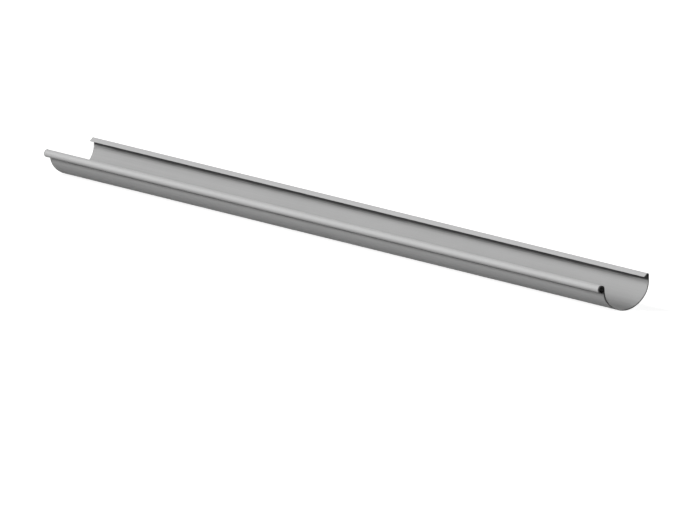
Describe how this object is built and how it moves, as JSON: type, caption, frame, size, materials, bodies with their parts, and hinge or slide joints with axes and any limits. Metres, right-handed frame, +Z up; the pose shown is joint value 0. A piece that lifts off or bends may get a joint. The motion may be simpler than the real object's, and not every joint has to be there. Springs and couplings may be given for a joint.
{
  "type": "half-round eaves gutter section",
  "caption": "Straight length of half-round steel roof gutter with a curled front bead and a folded back edge.",
  "frame": {"origin": "on the floor under the middle of the length, centred between the front bead and the back wall", "axes": "+X along the gutter, +Y towards the back edge that goes to the wall, +Z up from the floor it lies on"},
  "size_m": [1.65, 0.1402, 0.0766],
  "materials": {
    "steel_sheet": "silver grey satin coating on steel sheet"
  },
  "bodies": {
    "root": {"gutter": "steel_sheet"}
  },
  "joints": []
}
